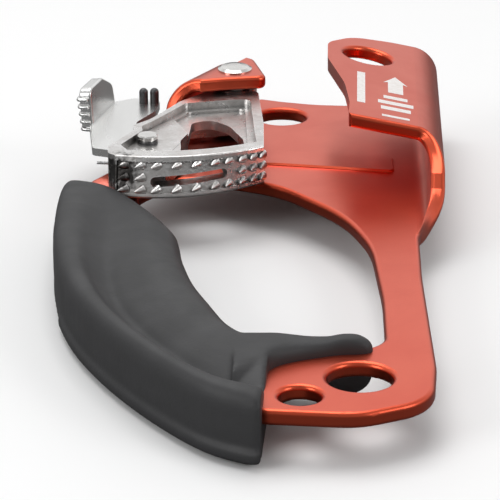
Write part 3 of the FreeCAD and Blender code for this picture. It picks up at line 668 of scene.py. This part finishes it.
@dataclass
class CamUnit:
    """Cast cam with its bush, catch rivet and catch spring."""

    nodes: dict[str, bpy.types.Object]
    face_middle: float = -50.5
    face_near: float = 100.5
    face_corner: float = 109.7
    face_left: float = -58.6
    face_right: float = -24.2
    face_end: float = -23.6
    bead_height: float = 12.6
    bead_radius: float = 0.24
    bead_inset: float = 0.52
    bead_wander: float = 0.07
    bead_swell: float = 0.45
    bead_steps: int = 220
    bead_corners: int = 7

    # Waves of the bead's line: height share, turn per millimetre and start.
    WAVES = ((0.6, 2.7, 0.0), (0.4, 7.3, 1.0), (0.5, 17.1, 2.0))
    # The two waves whose product swells and thins the bead.
    SWELLS = ((11.9, 0.0), (4.1, 0.6))

    def cast_line(self) -> bpy.types.Object:
        """Ragged casting bead along the toothed face, just under the rim."""
        steps, size = self.bead_steps, self.bead_corners
        curve = (self.face_corner - self.face_near) / (self.face_end - self.face_middle) ** 2
        vertices = []
        for step in range(steps + 1):
            x = self.face_left + (self.face_right - self.face_left) * step / steps
            wobble = sum(share * math.sin(rate * x + start) for share, rate, start in self.WAVES)
            y = self.face_near + self.bead_inset + curve * (x - self.face_middle) ** 2
            centre = Vector((x, y, self.bead_height + self.bead_wander * wobble))
            swell = self.bead_swell * math.prod(math.sin(rate * x + start) for rate, start in self.SWELLS)
            radius = self.bead_radius * (1.0 + swell)
            for index in range(size):
                angle = 2 * math.pi * index / size
                vertices.append((centre + Vector((0, math.cos(angle), math.sin(angle))) * radius) * MM)
        piece = piece_from("cam_cast_line", vertices, tube_faces(steps + 1, size), CAST)
        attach(piece, Body.CAM.value)
        return piece

    def dress(self) -> None:
        """Finishes of the cam's pieces."""
        dress(self.nodes["cam"], CAST)
        dress(self.nodes["cam_bush"], TURNED)
        dress(self.nodes["catch_rivet"], BRIGHT)
        dress(self.nodes["catch_washer"], OXIDE)
        dress(self.nodes["catch_spring"], WIRE)


@dataclass
class CatchUnit:
    """Thumb catch with its posts and the ribs of its tab."""

    nodes: dict[str, bpy.types.Object]
    foot: Triple = (-68.9, 139.6, 7.7)
    turn: float = math.radians(76.5)
    lean: float = math.tan(math.radians(7.0))
    rib_count: int = 5
    rib_pitch: float = 1.95
    rib_radius: float = 0.5
    rib_drop: float = 0.25
    rib_taper: float = 0.35
    rib_corners: int = 8
    rib_steps: int = 4

    # Line of one rib: (outward, along) from the tab's foot, in millimetres.
    RIB_LINE = ((2.25, 6.4), (2.3, 4.0), (2.3, 1.2), (2.15, 0.25), (1.6, 0.02), (0.6, 0.0), (-0.4, 0.05))

    def tab_ribs(self) -> bpy.types.Object:
        """Row of rounded ribs round the near end of the thumb tab."""
        along = Vector((math.cos(self.turn), math.sin(self.turn), 0))
        outward = Vector((-along.y, along.x, 0))
        upward = Vector((0, 0, 1))
        line = smooth_line(list(self.RIB_LINE), self.rib_steps)
        last, size = len(line) - 1, self.rib_corners
        vertices: list[Vector] = []
        faces: list[tuple[int, ...]] = []
        for number in range(self.rib_count):
            rise = self.rib_pitch * (number - self.rib_drop)
            offset = len(vertices)
            for step, (out, run) in enumerate(line):
                before, after = line[max(step - 1, 0)], line[min(step + 1, last)]
                way = (outward * (after[0] - before[0]) + along * (after[1] - before[1])).normalized()
                side = way.cross(upward)
                taper = self.rib_radius * (self.rib_taper if step in (0, last) else 1.0)
                reach = outward * (out + self.lean * rise)
                centre = Vector(self.foot) + reach + along * run + Vector((0, 0, rise))
                for index in range(size):
                    angle = 2 * math.pi * index / size
                    spot = centre + (side * math.cos(angle) + upward * math.sin(angle)) * taper
                    vertices.append(spot * MM)
            faces += [tuple(corner + offset for corner in face) for face in tube_faces(len(line), size)]
        piece = piece_from("tab_ribs", vertices, faces, STAMPED)
        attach(piece, Body.CATCH.value)
        return piece

    def dress(self) -> None:
        """Finishes of the catch."""
        dress(self.nodes["catch_lever"], STAMPED)
        dress(self.nodes["spring_posts"], OXIDE)


@dataclass
class Studio:
    """Pale floor, soft lights and the camera."""

    floor_z: float
    floor_half: float = 1.6
    eye: Triple = (-3.069, -484.688, 226.046)
    yaw: float = math.radians(2.3)
    pitch: float = math.radians(21.9)
    lens: float = 187.2

    AIM = Vector((-0.02, 0.07, 0.0))
    # Name, place, side in metres and power of each lamp.
    LAMPS = (
        ("overhead", (-0.15, 0.3, 0.9), 0.7, 4.5), ("near_left", (-0.75, -0.45, 0.42), 0.45, 2.6),
        ("near_right", (0.75, -0.3, 0.5), 0.35, 1.6),
    )
    PAPER = (0.92, 0.92, 0.92, 1.0)
    # Painted dark reflection: the floor shows darker in glossy rays than to the camera, so the metal reflects
    # a darker floor.
    PAPER_IN_GLOSS = (0.12, 0.12, 0.12, 1.0)
    # Brightness of the surround from the horizon to overhead.
    SKY = ((0.0, 0.1), (0.1, 0.3), (0.25, 0.85), (0.45, 1.0), (0.75, 0.75), (1.0, 0.5))

    def floor(self) -> None:
        """Large pale floor under the object."""
        half = self.floor_half
        corners = [Vector((x * half, y * half, self.floor_z)) for x, y in ((-1, -1), (1, -1), (1, 1), (-1, 1))]
        piece = piece_from("studio_floor", corners, [(0, 1, 2, 3)], RUBBER)
        paper = bpy.data.materials.new("studio_paper")
        paper.use_nodes = True
        shader = paper.node_tree.nodes["Principled BSDF"]
        shader.inputs["Roughness"].default_value = 0.9
        tone = add_node(paper.node_tree, "ShaderNodeMix", data_type="RGBA")
        tone.inputs["A"].default_value = self.PAPER
        tone.inputs["B"].default_value = self.PAPER_IN_GLOSS
        path = add_node(paper.node_tree, "ShaderNodeLightPath")
        paper.node_tree.links.new(path.outputs["Is Glossy Ray"], tone.inputs["Factor"])
        paper.node_tree.links.new(tone.outputs["Result"], shader.inputs["Base Color"])
        piece.data.materials[0] = paper
        piece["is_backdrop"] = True

    def light(self, name: str, place: Triple, size: float, power: float) -> None:
        """One square soft light aimed at the object."""
        data = bpy.data.lights.new(name, "AREA")
        data.size = size
        data.energy = power
        lamp = bpy.data.objects.new(name, data)
        lamp.location = place
        aim = self.AIM - Vector(place)
        lamp.rotation_euler = aim.to_track_quat("-Z", "Y").to_euler()
        bpy.context.scene.collection.objects.link(lamp)

    def air(self) -> bpy.types.World:
        """Soft surround: bright behind and above, dim near the floor and in front."""
        world = bpy.data.worlds.new("studio_air")
        world.use_nodes = True
        tree = world.node_tree
        link = tree.links.new
        place = add_node(tree, "ShaderNodeTexCoord")
        split = add_node(tree, "ShaderNodeSeparateXYZ")
        link(place.outputs["Generated"], split.inputs[0])
        ramp = add_node(tree, "ShaderNodeValToRGB")
        for position, value in self.SKY[1:-1]:
            ramp.color_ramp.elements.new(position)
        for element, (position, value) in zip(ramp.color_ramp.elements, self.SKY):
            element.position = position
            element.color = (value, value, value, 1.0)
        link(split.outputs["Z"], ramp.inputs["Fac"])
        front = add_node(tree, "ShaderNodeMapRange", {"From Min": -1.0, "To Min": 0.32})
        link(split.outputs["Y"], front.inputs["Value"])
        shade = add_node(tree, "ShaderNodeVectorMath", operation="SCALE")
        link(ramp.outputs["Color"], shade.inputs[0])
        link(front.outputs["Result"], shade.inputs["Scale"])
        link(shade.outputs[0], tree.nodes["Background"].inputs["Color"])
        return world

    def build(self) -> None:
        """Sets up floor, lights, world and camera."""
        self.floor()
        for lamp in self.LAMPS:
            self.light(*lamp)
        scene = bpy.context.scene
        scene.world = self.air()
        scene.view_settings.view_transform = "Standard"
        data = bpy.data.cameras.new("studio_camera")
        data.lens = self.lens
        data.sensor_width = 36.0
        data.clip_start = 0.01
        camera = bpy.data.objects.new("studio_camera", data)
        camera.location = Vector(self.eye) * MM
        level = math.cos(self.pitch)
        forward = Vector((-math.sin(self.yaw) * level, math.cos(self.yaw) * level, -math.sin(self.pitch)))
        camera.rotation_euler = forward.to_track_quat("-Z", "Y").to_euler()
        scene.collection.objects.link(camera)
        scene.camera = camera


def main() -> None:
    """Builds the finished ascender round its frame."""
    logging.basicConfig(level=logging.INFO, format="%(message)s")
    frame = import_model()
    cad_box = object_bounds()
    nodes = frame["nodes"]
    bodywork = Bodywork(nodes)
    bodywork.dress()
    log.info("piece %s", bodywork.marking().name)
    log.info("piece %s", Grip().build().name)
    cam_unit = CamUnit(nodes)
    cam_unit.dress()
    log.info("piece %s", cam_unit.cast_line().name)
    catch_unit = CatchUnit(nodes)
    catch_unit.dress()
    log.info("piece %s", catch_unit.tab_ribs().name)
    Studio(floor_z=cad_box[0][2] - FLOOR_GAP).build()


if __name__ == "__main__":
    main()
